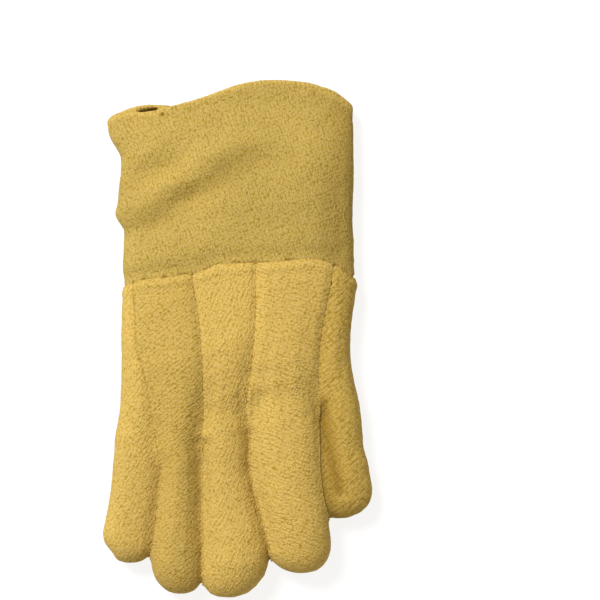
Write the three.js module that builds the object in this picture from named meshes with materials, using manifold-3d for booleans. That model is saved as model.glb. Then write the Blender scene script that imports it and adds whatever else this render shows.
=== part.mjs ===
// A right-hand glove of thick terry cloth, lying on its palm.
//
// Millimetres. x runs across the hand from the little finger to the thumb, y from the
// fingertips to the mouth of the cuff, and z up from the surface that the glove lies on.

import * as THREE from 'three';
import * as BufferGeometryUtils from 'three/addons/utils/BufferGeometryUtils.js';
import Module from 'manifold-3d';

const wasm = await Module();
wasm.setup();

const { clamp, lerp, smoothstep } = THREE.MathUtils;

// Driving dimensions
const WALL = 4; // terry cloth with loops on both faces
const GAP = 0.3; // between pieces that are sewn to each other
const FINGER_CLEARANCE = 1.2; // between neighbouring fingers past the crotch
const SIDE_SEAM = 11; // height of the seam between the palm and the back
const INDEX_SEAM = 17.5; // the same on the side of the index finger that lies on the thumb
const LEANING_MIDDLE = -85; // y halfway along that stretch
const EDGE_FLAT = 1.5; // half the height of the flat along the side seam
const SINK = 3; // how far the round underside is pressed flat by its weight
const HIGHEST = 60; // above everything, for the cutting shapes
const FARTHEST = 180; // beyond everything, likewise

// The turned hem round the mouth
const HEM_HEIGHT = 5;
const HEM_SWELL = 0.8;

// Roundness of the sections, as the power of a superellipse
const BODY_CROWN_POWER = 2.5;
const BODY_UNDERSIDE_POWER = 3;
const DIGIT_POWER = 2.35;
const LEANING_POWER = 1.3; // the index finger's lower side where it leans on the thumb
const TIP_HEIGHT_POWER = 2.3;

// Grooves along the sewn lines
const GROOVE_FLOOR = 1; // half the width of its flat floor
const GROOVE_WIDTHS = [2.6, 7.5]; // at the cuff seam and at the crotch
const GROOVE_DEPTHS = [1.8, 8.5];
const CUFF_SEAM_GROOVE = 1.8;
const CUFF_SEAM_WIDTH = 5;

const table = (columns, rows) =>
  rows.map((row) => Object.fromEntries(columns.map((name, i) => [name, row[i]])));

// Outline and height of the cuff and the hand, one row for each section along y
const BODY = table(['y', 'left', 'right', 'crown'], [
  [168, -84.5, 74.8, 20],
  [150, -84.3, 74.8, 21.5],
  [138, -82.8, 75.0, 24],
  [128, -80.2, 75.0, 26.5],
  [118, -75.0, 75.0, 28.5],
  [100, -75.2, 74.8, 29.5],
  [82, -77.4, 74.5, 30],
  [66, -71.4, 75.0, 30.5],
  [52, -74.4, 75.2, 31],
  [37, -73.0, 76.8, 31.5],
  [12, -74.5, 73.6, 34.5],
  [-5, -74.5, 72.2, 36.5],
  [-23, -75.0, 74.0, 36],
  [-40, -75.6, 76.8, 34],
  [-60, -76.8, 78.0, 31.5],
  [-80, -78.4, 79.0, 28.5],
]);

// Lines of the cut, seen from above: the finger crotches, the cuff seam, and the mouth's two lips
const ACROSS = table(['x', 'crotch', 'seam', 'upper_lip', 'under_lip'], [
  [-85, -78, 31.5, 141.4, 143.0],
  [-76, -77, 32.5, 146.2, 148.5],
  [-64, -74, 37.6, 147.2, 150.8],
  [-54, -71.5, 39.0, 148.2, 152.0],
  [-45, -68.5, 39.8, 149.8, 151.6],
  [-38, -66, 41.0, 151.6, 150.4],
  [-24, -60, 43.0, 156.0, 154.4],
  [-12, -55, 48.4, 160.0, 158.4],
  [8, -47, 49.2, 166.2, 164.6],
  [25, -44, 49.6, 167.7, 166.2],
  [44, -41, 51.8, 166.4, 164.8],
  [55, -39, 51.2, 163.8, 162.2],
  [65, -37, 47.0, 159.6, 158.0],
  [77, -36, 38.4, 150.6, 149.4],
]);

// Sewn lines down the back, which run on between the fingers
const LINES = table(['y', 'little_ring', 'ring_middle', 'middle_index', 'index_thumb'], [
  [60, -67.5, -30.0, 12.4, 63.5],
  [37, -66.6, -28.0, 12.4, 61.0],
  [12, -65.5, -24.0, 12.4, 56.2],
  [-5, -64.4, -22.6, 11.0, 53.7],
  [-23, -59.6, -21.6, 9.2, 53.0],
  [-40, -56.4, -21.2, 6.4, 53.6],
  [-54, -54.2, -21.2, 7.6, 53.9],
  [-70, -51.0, -21.4, 8.6, 54.4],
  [-85, -48.4, -21.5, 8.4, 55.3],
  [-97, -48.9, -21.5, 10.9, 56.6],
  [-110, -51.0, -21.5, 15.5, 58.4],
  [-123, -52.4, -21.5, 18.7, 59.6],
  [-136, -54.4, -21.5, 21.0, 61.3],
  [-150, -56.9, -21.5, 21.4, 61.6],
  [-172, -57.5, -21.5, 21.4, 61.6],
]);

// Outer sides of the little finger and the thumb, and the thumb's side under the index finger
const SIDES = table(['y', 'little', 'thumb', 'thumb_under'], [
  [5, -74.5, 72.8, 57.0],
  [-23, -75.0, 74.0, 55.5],
  [-40, -76.2, 78.3, 55.0],
  [-54, -77.6, 80.0, 48.5],
  [-70, -79.4, 81.2, 42.0],
  [-85, -80.4, 85.2, 39.0],
  [-97, -81.5, 86.8, 38.0],
  [-110, -83.6, 86.8, 38.0],
  [-123, -86.4, 86.8, 38.0],
  [-136, -87.1, 86.8, 38.0],
]);

// Height of each digit's back, how much the index finger leans on the thumb, and how far the
// ring finger's inner side ducks under the middle finger
const CROWNS = table(['y', 'little', 'ring', 'middle', 'index', 'thumb', 'lean', 'duck'], [
  [0, 24, 31, 33, 33, 25, 0, 0],
  [-35, 24.5, 31, 33, 33.5, 25, 0, 0.05],
  [-60, 25, 29.5, 31.5, 34, 24.5, 0.85, 0.3],
  [-85, 24.5, 27.5, 29.5, 33.5, 25, 1, 0.42],
  [-108, 24, 26.5, 28.5, 32.5, 24, 1, 0.42],
  [-122, 23.5, 26.5, 28.5, 31, 23, 0.6, 0.36],
  [-136, 23.5, 26.5, 28.5, 28.5, 23, 0, 0.3],
  [-170, 23.5, 26, 27.5, 27, 23, 0, 0.2],
]);

// Where each digit starts inside the hand, where its tip starts to round, where it ends, how far
// the tip leans across, and the power of its outline
const DIGITS = table(['name', 'root', 'rounding', 'end', 'shift', 'power'], [
  ['little', -38, -126, -145.6, 0, 2.4],
  ['ring', -30, -143, -165.6, 2, 2.4],
  ['middle', -18, -137, -167.7, -7, 2.6],
  ['index', -8, -133, -152.1, 1, 2.3],
  ['thumb', 0, -96, -117.0, -3, 2.5],
]);

// Soft folds of the cuff's upper face: valleys, and ridges with a depth below zero, each along the
// points of one curve
const FOLDS = table(['fold', 'x', 'y', 'width', 'depth'], [
  ['upper_valley', -78, 100, 6, 1.6],
  ['upper_valley', -62, 107, 6.5, 3.2],
  ['upper_valley', -46, 113, 7, 3.4],
  ['upper_valley', -29, 125, 9, 1.4],
  ['lower_valley', -62, 67, 6, 1.2],
  ['lower_valley', -44, 82, 7, 3.2],
  ['lower_valley', -29, 92, 7.5, 3.4],
  ['lower_valley', -14, 102, 8, 3],
  ['lower_valley', 3, 111, 9, 2.4],
  ['lower_valley', 35, 119, 11, 1],
  ['ridge_between', -64, 88, 7, -1.2],
  ['ridge_between', -44, 98, 7, -2],
  ['ridge_between', -24, 108, 8, -1.8],
  ['ridge_between', -4, 122, 10, -1],
  ['plateau', -20, 76, 14, -1],
  ['plateau', 30, 92, 16, -1.4],
  ['right_valley', 66, 48, 5, 1.8],
  ['right_valley', 64, 72, 6, 2.4],
  ['right_valley', 61, 101, 7, 1.4],
  ['left_lobe', -76, 90, 5, 1.6],
  ['left_lobe', -74, 64, 6, 2],
]);

// A function that runs smoothly through two columns of a table
function through(rows, from, to) {
  const knots = rows.map((row) => ({ at: row[from], value: row[to] }));
  knots.sort((a, b) => a.at - b.at);
  const last = knots.length - 1;
  const slopes = knots.map((knot, i) => {
    const before = knots[Math.max(i - 1, 0)];
    const after = knots[Math.min(i + 1, last)];
    return (after.value - before.value) / (after.at - before.at);
  });
  return (at) => {
    const place = clamp(at, knots[0].at, knots[last].at);
    const i = Math.min(knots.findLastIndex((knot) => knot.at <= place), last - 1);
    const span = knots[i + 1].at - knots[i].at;
    const t = (place - knots[i].at) / span;
    const start = lerp(knots[i].value, knots[i + 1].value, t * t * (3 - 2 * t));
    const bend = t * (1 - t) * ((1 - t) * slopes[i] - t * slopes[i + 1]);
    return start + span * bend;
  };
}

const body = Object.fromEntries(
  ['left', 'right', 'crown'].map((name) => [name, through(BODY, 'y', name)]));
const across = Object.fromEntries(
  ['crotch', 'seam', 'upper_lip', 'under_lip'].map((name) => [name, through(ACROSS, 'x', name)]));
const LINE_NAMES = ['little_ring', 'ring_middle', 'middle_index', 'index_thumb'];
const lines = LINE_NAMES.map((name) => through(LINES, 'y', name));
const sides = Object.fromEntries(
  ['little', 'thumb', 'thumb_under'].map((name) => [name, through(SIDES, 'y', name)]));
const lean = through(CROWNS, 'y', 'lean');
const duck = through(CROWNS, 'y', 'duck');

const superellipse = (u, power) => Math.max(1 - Math.abs(u) ** power, 0) ** (1 / power);
const bell = (distance, width) => Math.exp(-((distance / width) ** 2));

// The stretches of the folds, between two neighbouring points of one curve
const foldStretches = FOLDS.slice(1)
  .map((to, i) => ({ from: FOLDS[i], to }))
  .filter(({ from, to }) => from.fold === to.fold);

// How deep the cuff's folds press the upper face at a place. Each fold counts once, where its
// nearest stretch has it.
function foldDepth(x, y) {
  const depths = {};
  for (const { from, to } of foldStretches) {
    const run = new THREE.Vector2(to.x - from.x, to.y - from.y);
    const start = new THREE.Vector2(x - from.x, y - from.y);
    const along = clamp(start.dot(run) / run.lengthSq(), 0, 1);
    const off = start.distanceTo(run.multiplyScalar(along));
    const width = lerp(from.width, to.width, along);
    const depth = lerp(from.depth, to.depth, along) * bell(off, width);
    if (Math.abs(depth) > Math.abs(depths[from.fold] ?? 0)) {
      depths[from.fold] = depth;
    }
  }
  return Object.values(depths).reduce((sum, depth) => sum + depth, 0);
}

// How deep the sewn lines press the back of the hand, deepest at the finger crotches
function grooveDepth(x, y) {
  const down = (across.seam(x) - y) / (across.seam(x) - across.crotch(x));
  const toCrotch = clamp(down, 0, 1) ** 3;
  const depth = lerp(...GROOVE_DEPTHS, toCrotch);
  const width = lerp(...GROOVE_WIDTHS, toCrotch);
  const nearest = Math.min(...lines.map((line) => Math.abs(x - line(y))));
  return depth * bell(Math.max(nearest - GROOVE_FLOOR, 0), width);
}

const cuffSeamDepth = (x, y) =>
  CUFF_SEAM_GROOVE * bell(y - across.seam(x), CUFF_SEAM_WIDTH);

// One ring round the hand or the cuff. upperY and underY give y for a place across, stops gives
// the places across the upper face, and grow swells the ring, or shrinks it when negative.
function bodyRing(upperY, underY, stops, underStops, relief, grow) {
  const left = body.left(upperY(BODY[0].left));
  const right = body.right(upperY(BODY[0].right));
  const middle = (left + right) / 2;
  const half = (right - left) / 2;
  const spread = (half + grow) / half;
  const upper = stops(left, right, upperY).map((stop) => {
    const x = middle + (stop - middle) * spread;
    const y = upperY(x);
    const crown = superellipse((stop - middle) / half, BODY_CROWN_POWER);
    const rise = (body.crown(y) + grow - SIDE_SEAM - relief(stop, y)) * crown;
    return new THREE.Vector3(x, y, SIDE_SEAM + Math.max(rise, EDGE_FLAT));
  });
  const under = underStops.map((u) => {
    const x = middle + u * half * spread;
    const drop = (SIDE_SEAM + SINK + grow) * superellipse(u, BODY_UNDERSIDE_POWER);
    const z = SIDE_SEAM - Math.max(drop, EDGE_FLAT);
    return new THREE.Vector3(x, underY(x), Math.max(z, -grow, 0));
  });
  return upper.concat(under.reverse());
}

// Places across the upper face of the hand, as shares of the way from one sewn line to the next.
// The floors of the grooves are added to them.
const STRIP_STOPS = [
  [0, 0.14, 0.42, 0.7],
  [0.12, 0.36, 0.64, 0.88],
  [0.12, 0.36, 0.64, 0.88],
  [0.11, 0.36, 0.64, 0.89],
  [0.25, 0.55, 0.82, 0.95, 1],
];

function handStops(left, right, upperY) {
  const cuts = lines.map((line) => line(upperY(line(0))));
  const edges = [left, ...cuts, right];
  return STRIP_STOPS.flatMap((stops, i) => {
    const floor = i < cuts.length ? [cuts[i] - GROOVE_FLOOR, cuts[i] + GROOVE_FLOOR] : [];
    return stops.map((stop) => lerp(edges[i], edges[i + 1], stop)).concat(floor);
  });
}

// Places spread over a whole face, closer together at its rounded sides
const spreadStops = (count) =>
  Array.from({ length: count }, (_, i) => Math.sin(((i / (count - 1)) * 2 - 1) * (Math.PI / 2)));

const CUFF_STOPS = spreadStops(25);
const UNDER_STOPS = spreadStops(13);

function cuffStops(left, right) {
  return CUFF_STOPS.map((u) => lerp(left, right, (u + 1) / 2));
}

// Flat list of triangle corners between two neighbouring rings of equal length
function band(first, second, count) {
  const corners = [];
  for (let k = 0; k < count; k += 1) {
    const next = (k + 1) % count;
    corners.push(first + k, first + next, second + next);
    corners.push(first + k, second + next, second + k);
  }
  return corners;
}

function geometryOf(points, corners) {
  const geometry = new THREE.BufferGeometry();
  geometry.setFromPoints(points);
  geometry.setIndex(corners);
  return geometry;
}

// A solid through rings, closed by a fan at each end
function loft(rings) {
  const count = rings[0].length;
  const centre = (ring) =>
    ring.reduce((sum, point) => sum.add(point), new THREE.Vector3()).divideScalar(count);
  const points = rings.flat().concat(centre(rings[0]), centre(rings.at(-1)));
  const corners = rings.slice(1).flatMap((_, i) => band(i * count, (i + 1) * count, count));
  const lastRing = (rings.length - 1) * count;
  for (let k = 0; k < count; k += 1) {
    const next = (k + 1) % count;
    corners.push(points.length - 2, next, k);
    corners.push(points.length - 1, lastRing + k, lastRing + next);
  }
  return geometryOf(points, corners);
}

// A tube with a wall, open at both ends, from rings outside and as many inside. Its two end faces
// are split along the same diagonals, so that two tubes can meet end to end.
function openTube(outerRings, innerRings) {
  const count = outerRings[0].length;
  const rings = outerRings.concat(innerRings.toReversed());
  const corners = rings.slice(1).flatMap((_, i) => band(i * count, (i + 1) * count, count));
  const farEnd = (rings.length - 1) * count;
  return geometryOf(rings.flat(), corners.concat(band(0, farEnd, count).toReversed()));
}

// Solids for joining and cutting, and back again
function solid(geometry) {
  const shape = geometry.index ? geometry : geometry.clone();
  shape.deleteAttribute('normal');
  shape.deleteAttribute('uv');
  const merged = BufferGeometryUtils.mergeVertices(shape);
  const { array } = merged.getAttribute('position');
  const vertProperties = new Float32Array(array);
  const triVerts = new Uint32Array(merged.index.array);
  return new wasm.Manifold(new wasm.Mesh({ numProp: 3, vertProperties, triVerts }));
}

function geometryFrom(cut) {
  const { vertProperties, triVerts } = cut.getMesh();
  const geometry = new THREE.BufferGeometry();
  geometry.setAttribute('position', new THREE.BufferAttribute(vertProperties, 3));
  geometry.setIndex(new THREE.BufferAttribute(triVerts, 1));
  return geometry;
}

const joined = (solids) => solids.reduce((sum, next) => sum.add(next));

// An upright block over an outline in x and y
function blockOver(outline) {
  const shape = new THREE.Shape(outline.map(([x, y]) => new THREE.Vector2(x, y)));
  const geometry = new THREE.ExtrudeGeometry(shape, { depth: 2 * HIGHEST, bevelEnabled: false });
  return solid(geometry.translate(0, 0, -HIGHEST));
}

// A long block along y over an outline in x and z
function blockAlong(outline) {
  const shape = new THREE.Shape(outline.map(([x, z]) => new THREE.Vector2(x, z)));
  const geometry = new THREE.ExtrudeGeometry(shape, { depth: 2 * FARTHEST, bevelEnabled: false });
  return solid(geometry.rotateX(Math.PI / 2).translate(0, FARTHEST, 0));
}

// The cuff and its hem, both open tubes between the seam and the two lips. The hem's first ring
// is the cuff's last one, a gap further on.
function cuffRings(steps, toMouth, grow) {
  return steps.map((step) => {
    const height = (lip) => (x) => toMouth(across.seam(x), lip(x), step);
    const relief = (x, y) => foldDepth(x, y) + cuffSeamDepth(x, y);
    return bodyRing(height(across.upper_lip), height(across.under_lip), cuffStops, UNDER_STOPS,
      relief, grow(step));
  });
}

const CUFF_STEPS = [-0.04, 0.03, 0.13, 0.24, 0.35, 0.46, 0.57, 0.68, 0.79, 0.9, 1];
const alongCuff = (seam, lip, step) => lerp(seam, lip - HEM_HEIGHT - GAP, step);

const HEM_STEPS = [0, 0.15, 0.6, 1];
const alongHem = (seam, lip, step) => lip - HEM_HEIGHT * (1 - step);
const hemSwell = (step) => HEM_SWELL * Math.sin(Math.PI * Math.min(step, 0.8) ** 0.5);

function hemGeometry() {
  return openTube(
    cuffRings(HEM_STEPS, alongHem, hemSwell),
    cuffRings(HEM_STEPS, alongHem, (step) => -WALL - hemSwell(step)));
}

// The hand without its fingers, from the cuff seam to the crotches
const HAND_STEPS = [-0.05, 0.06, 0.2, 0.36, 0.52, 0.68, 0.84, 1];
const HAND_HOLLOW_STEPS = [-0.1, 0.07, 0.3, 0.52, 0.76, 1];

function handSolid(steps, grow) {
  const relief = (x, y) => grooveDepth(x, y) + cuffSeamDepth(x, y);
  const rings = steps.map((step) => {
    const height = (x) => lerp(across.seam(x), across.crotch(x) - grow, step);
    return bodyRing(height, height, handStops, UNDER_STOPS, relief, grow);
  });
  return solid(loft(rings.toReversed()));
}

// The sides of a digit at y, clear of its neighbours
const fingers = ['little', 'ring', 'middle', 'index'];

function digitSides(name, y) {
  const place = fingers.indexOf(name);
  if (name === 'thumb') {
    return [sides.thumb_under(y), sides.thumb(y)];
  }
  const right = lines[place](y) - FINGER_CLEARANCE / 2;
  if (name === 'little') {
    return [sides.little(y), right];
  }
  return [lines[place - 1](y) + FINGER_CLEARANCE / 2, right];
}

// How finely a digit is cut: corners round it, sections from its root to the start of its tip,
// and sections of the tip as shares of its length
const SKIN_CUT = { corners: 20, sections: 7, tip: [0.3, 0.55, 0.76, 0.91, 0.99] };
const HOLLOW_CUT = { corners: 14, sections: 5, tip: [0.4, 0.72, 0.92, 0.99] };

// A digit starts slim inside the hand and has its full size this far down
const EMERGE_LENGTH = 24;
const SLIM_WIDTH = 0.84;
const SLIM_HEIGHT = 0.72;

// One ring round a digit
function digitRing(digit, y, grow, corners) {
  const [left, right] = digitSides(digit.name, Math.max(y, digit.rounding));
  const emerged = smoothstep(digit.root - y, 0, EMERGE_LENGTH);
  const toTip = clamp((digit.rounding - y) / (digit.rounding - digit.end + grow), 0, 1);
  const narrow = superellipse(toTip, digit.power) * lerp(SLIM_WIDTH, 1, emerged);
  const flatten = superellipse(toTip, TIP_HEIGHT_POWER) * lerp(SLIM_HEIGHT, 1, emerged);
  const middle = (left + right) / 2 + digit.shift * toTip ** 2;
  const half = ((right - left) / 2 + grow) * narrow;
  const crown = through(CROWNS, 'y', digit.name)(y);
  const leaning = digit.name === 'index' ? lean(y) : 0;
  const ducking = digit.name === 'ring' ? duck(y) : 0;
  const widest = Math.cos(Math.PI / corners) ** (2 / DIGIT_POWER);
  return Array.from({ length: corners }, (_, k) => {
    const angle = ((k + 0.5) / corners) * 2 * Math.PI;
    const out = Math.cos(angle);
    const up = Math.sin(angle);
    const leans = up < 0 && out > 0 ? leaning : 0;
    const power = lerp(DIGIT_POWER, LEANING_POWER, leans);
    const side = (Math.sign(out) * Math.abs(out) ** (2 / power)) / widest;
    const seam = lerp(SIDE_SEAM, INDEX_SEAM, leaning * clamp(side, 0, 1));
    const lowered = 1 - ducking * clamp(out, 0, 1);
    const reach = up > 0 ? (crown + grow - seam) * lowered : seam + SINK + grow;
    const z = seam + Math.sign(up) * reach * flatten * Math.abs(up) ** (2 / power);
    return new THREE.Vector3(middle + half * side, y, Math.max(z, -grow));
  });
}

function digitSolid(digit, grow, cut) {
  const heights = Array.from({ length: cut.sections + 1 }, (_, i) =>
    lerp(digit.root, digit.rounding, i / cut.sections));
  heights.push(...cut.tip.map((step) => lerp(digit.rounding, digit.end - grow, step)));
  return solid(loft(heights.map((y) => digitRing(digit, y, grow, cut.corners))));
}

const digitNamed = Object.fromEntries(DIGITS.map((row) => [row.name, row]));
const skin = (name, grow = 0) => digitSolid(digitNamed[name], grow, SKIN_CUT);
const inside = (name) => digitSolid(digitNamed[name], -WALL, HOLLOW_CUT);

// The thumb takes the dent of the index finger that lies on it
const thumbOutside = skin('thumb').subtract(skin('index', GAP));
const thumbInside = inside('thumb').subtract(skin('index', GAP + WALL));

// The hollow is one space: the hand, four fingers and the thumb
const hollow = joined([handSolid(HAND_HOLLOW_STEPS, -WALL), ...fingers.map(inside), thumbInside]);

// Outline of a strip of the back between two lines, with corners at the rows of the table and at
// thirds of the way between them
const rowHeights = LINES.map((row) => row.y);
const stripHeights = rowHeights.flatMap((y, i) =>
  (i ? [2 / 3, 1 / 3, 0].map((back) => lerp(y, rowHeights[i - 1], back)) : [y]));

function strip(leftLine, rightLine) {
  const down = stripHeights.map((y) => [leftLine(y) + GAP / 2, y]);
  const up = stripHeights.toReversed().map((y) => [rightLine(y) - GAP / 2, y]);
  return blockOver(down.concat(up));
}

const farLeft = () => -FARTHEST;
const farRight = () => FARTHEST;

// The two sides of the cuff seam
const seamLine = (offset) => [
  [-FARTHEST, ACROSS[0].seam + offset],
  ...ACROSS.map((row) => [row.x, row.seam + offset]),
  [FARTHEST, ACROSS.at(-1).seam + offset],
];
const cuffSide = blockOver(seamLine(GAP / 2).concat([[FARTHEST, FARTHEST], [-FARTHEST, FARTHEST]]));
const handSide = blockOver([[-FARTHEST, -FARTHEST], [FARTHEST, -FARTHEST]].concat(
  seamLine(-GAP / 2).toReversed()));

const cuffSolid = solid(openTube(
  cuffRings(CUFF_STEPS, alongCuff, () => 0),
  cuffRings(CUFF_STEPS, alongCuff, () => -WALL))).intersect(cuffSide);

const handOutside = handSolid(HAND_STEPS, 0).intersect(handSide);
const withoutThumb = joined([
  handOutside.intersect(strip(farLeft, lines[3])),
  ...fingers.map((name) => skin(name)),
]).subtract(hollow);

const thumbSolid = handOutside
  .intersect(strip(lines[3], farRight))
  .add(thumbOutside)
  .subtract(hollow);

// The side seam: level along the hand, and rising under the index finger
const seamProfile = (offset) => [
  [-FARTHEST, SIDE_SEAM + offset],
  [lines[2](LEANING_MIDDLE), SIDE_SEAM + offset],
  [lines[3](LEANING_MIDDLE), INDEX_SEAM + offset],
  [FARTHEST, INDEX_SEAM + offset],
];
const aboveSeam = blockAlong(seamProfile(GAP / 2).concat([
  [FARTHEST, HIGHEST],
  [-FARTHEST, HIGHEST],
]));
const belowSeam = blockAlong(seamProfile(-GAP / 2).concat([
  [FARTHEST, -HIGHEST],
  [-FARTHEST, -HIGHEST],
]));

const palmSolid = withoutThumb.intersect(belowSeam);
const backs = withoutThumb.intersect(aboveSeam);
const stripEdges = [farLeft, ...lines.slice(0, 3), farRight];

// Terry cloth in old gold, each piece with a material of its own
const TERRY = { color: 0xc9a653, roughness: 0.95, metalness: 0 };
const HEM = { color: 0xbd9c55, roughness: 0.95, metalness: 0 };

const glove = new THREE.Group();

function place(name, geometry, look) {
  const mesh = new THREE.Mesh(geometry, new THREE.MeshStandardMaterial(look));
  mesh.name = name;
  glove.add(mesh);
}

place('cuff_hem', hemGeometry(), HEM);
place('cuff', geometryFrom(cuffSolid), TERRY);
place('palm', geometryFrom(palmSolid), TERRY);
fingers.forEach((name, i) => {
  const piece = backs.intersect(strip(stripEdges[i], stripEdges[i + 1]));
  place(`back_${name}`, geometryFrom(piece), TERRY);
});
place('thumb', geometryFrom(thumbSolid), TERRY);

export default glove;
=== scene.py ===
# %% [markdown]
# # A terry cloth heat glove, from sewn panels to loops of pile
#
# The object is one right-hand glove that lies on its palm. It is cut from thick yellow
# terry cloth in eight panels: a one-piece palm, four back strips, a thumb, a cuff and the
# turned hem round the cuff's mouth. The solids in model.glb already have the true size, the
# hollow inside and the seams between the panels. Blender gives them what makes cloth look
# like cloth: rounded edges at the seams, soft unevenness, and a pile of small cotton loops
# in rows.
#
# A name that ends in _MM or _mm holds millimetres, and the scene itself is in metres.

import math

import bpy
import numpy as np
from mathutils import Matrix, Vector
from mathutils.bvhtree import BVHTree


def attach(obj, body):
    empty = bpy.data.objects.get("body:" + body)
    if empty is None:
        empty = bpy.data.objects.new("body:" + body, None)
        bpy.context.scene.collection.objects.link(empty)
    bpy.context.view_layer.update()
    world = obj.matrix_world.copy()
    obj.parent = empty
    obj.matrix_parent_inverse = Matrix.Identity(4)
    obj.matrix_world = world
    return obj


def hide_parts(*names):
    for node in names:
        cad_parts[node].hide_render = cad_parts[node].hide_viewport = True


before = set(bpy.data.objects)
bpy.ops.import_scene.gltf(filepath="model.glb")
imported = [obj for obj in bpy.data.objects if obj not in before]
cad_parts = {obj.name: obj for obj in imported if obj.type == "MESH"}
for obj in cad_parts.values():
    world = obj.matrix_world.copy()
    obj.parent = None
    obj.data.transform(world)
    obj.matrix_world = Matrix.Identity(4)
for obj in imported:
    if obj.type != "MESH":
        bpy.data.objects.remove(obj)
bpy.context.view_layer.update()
MM = 0.001
print("panels:", sorted(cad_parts))

# %% [markdown]
# ## The camera
#
# The glove is seen from straight above, as a flat lay. A long lens far away keeps the
# outline true, so that the fingertips and the cuff have one scale. The view is 390 mm wide
# at half the glove's height, and the glove lies left of its middle. Its distance is given,
# and the lens follows from the width that it has to show.

# %% Camera straight above
VIEW_WIDTH_MM = 390
VIEW_CENTRE_MM = (40.95, 25.35)
CAMERA_HEIGHT_MM = 1600
HALF_HEIGHT_MM = 18
SENSOR_MM = 36
CLIP_END = 20

camera = bpy.data.objects.new("camera", bpy.data.cameras.new("camera"))
bpy.context.scene.collection.objects.link(camera)
camera.data.sensor_width = SENSOR_MM
camera.data.lens = SENSOR_MM * (CAMERA_HEIGHT_MM - HALF_HEIGHT_MM) / VIEW_WIDTH_MM
camera.data.clip_end = CLIP_END
camera.location = (VIEW_CENTRE_MM[0] * MM, VIEW_CENTRE_MM[1] * MM, CAMERA_HEIGHT_MM * MM)
bpy.context.scene.camera = camera
print("lens", round(camera.data.lens, 1), "mm")

# %% [markdown]
# ## Floor and light
#
# A plain white floor that glows a little, as a light table does, so that shadows on it stay
# faint. One broad lamp hangs up and to the left, so that folds and finger sides fall off
# softly to the right, and a pale warm sky fills the shadows, where light would bounce from
# yellow cloth to yellow cloth.

# %% Floor
FLOOR_SIZE = 6
FLOOR_GREY = (0.17, 0.17, 0.17, 1)
FLOOR_GLOW = 0.84
FLOOR_ROUGHNESS = 0.9

bpy.ops.object.select_all(action="DESELECT")
bpy.ops.mesh.primitive_plane_add(size=FLOOR_SIZE, location=(0, 0, 0))
floor = bpy.context.active_object
floor.name = "floor"
floor_paint = bpy.data.materials.new("floor_paint")
floor_paint.use_nodes = True
paint = floor_paint.node_tree.nodes["Principled BSDF"]
paint.inputs["Base Color"].default_value = FLOOR_GREY
paint.inputs["Emission Color"].default_value = (1, 1, 1, 1)
paint.inputs["Emission Strength"].default_value = FLOOR_GLOW
paint.inputs["Roughness"].default_value = FLOOR_ROUGHNESS
floor.data.materials.append(floor_paint)
print("floor", FLOOR_SIZE, "m wide")

# %% Light
KEY_PLACE = (-1.5, 1.9, 2.6)
KEY_AIM = (0, 0, 0)
KEY_SIZE = 1.5
KEY_POWER = 172
FILL_STRENGTH = 0.45
FILL_COLOUR = (1.0, 0.93, 0.74, 1)

key = bpy.data.objects.new("key_light", bpy.data.lights.new("key_light", "AREA"))
bpy.context.scene.collection.objects.link(key)
key.data.shape = "DISK"
key.data.size = KEY_SIZE
key.data.energy = KEY_POWER
key.location = KEY_PLACE
key.rotation_euler = (Vector(KEY_AIM) - Vector(KEY_PLACE)).to_track_quat("-Z", "Y").to_euler()
world = bpy.data.worlds.new("soft_sky")
world.use_nodes = True
world.node_tree.nodes["Background"].inputs["Color"].default_value = FILL_COLOUR
world.node_tree.nodes["Background"].inputs["Strength"].default_value = FILL_STRENGTH
bpy.context.scene.world = world
bpy.context.scene.view_settings.view_transform = "Standard"
print("key light", round(Vector(KEY_PLACE).length, 2), "m away")

# %% [markdown]
# ## Repeatable noise
#
# Cloth is uneven, but the script has to give the same cloth each time. `chance` turns whole
# numbers into a fixed fraction from 0 to 1, and `noise` blends such fractions over a grid of
# cubes, which gives soft lumps of any size.

# %% Chance and noise
X_SPREAD, Y_SPREAD, Z_SPREAD = 73856093, 19349663, 83492791
SALT_SPREAD = 2654435761
MIX = 1274126177
# large odd numbers, which scatter the bits of small ones
LAST_24_BITS = 0xFFFFFF


def chance(cells, salt):
    """A fixed fraction from 0 to 1 for each row of three whole numbers."""
    x, y, z = (cells[:, i].astype(np.int64) for i in range(3))
    mixed = (x * X_SPREAD) ^ (y * Y_SPREAD) ^ (z * Z_SPREAD) ^ (salt * SALT_SPREAD)
    mixed = (mixed ^ (mixed >> 13)) * MIX
    mixed = (mixed ^ (mixed >> 16)) & LAST_24_BITS
    return mixed / LAST_24_BITS


def noise(points, size, salt):
    """Soft lumps of about that size, from -1 to 1."""
    place = points / size
    cell = np.floor(place)
    part = place - cell
    part = part * part * (3 - 2 * part)
    total = np.zeros(len(points))
    for corner in np.ndindex(2, 2, 2):
        share = np.prod(np.where(corner, part, 1 - part), axis=1)
        total += share * chance(cell + corner, salt)
    return 2 * total - 1


def smooth_step(x):
    """0 below 0, 1 above 1, and a soft rise between them."""
    x = np.clip(x, 0, 1)
    return x * x * (3 - 2 * x)
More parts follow.
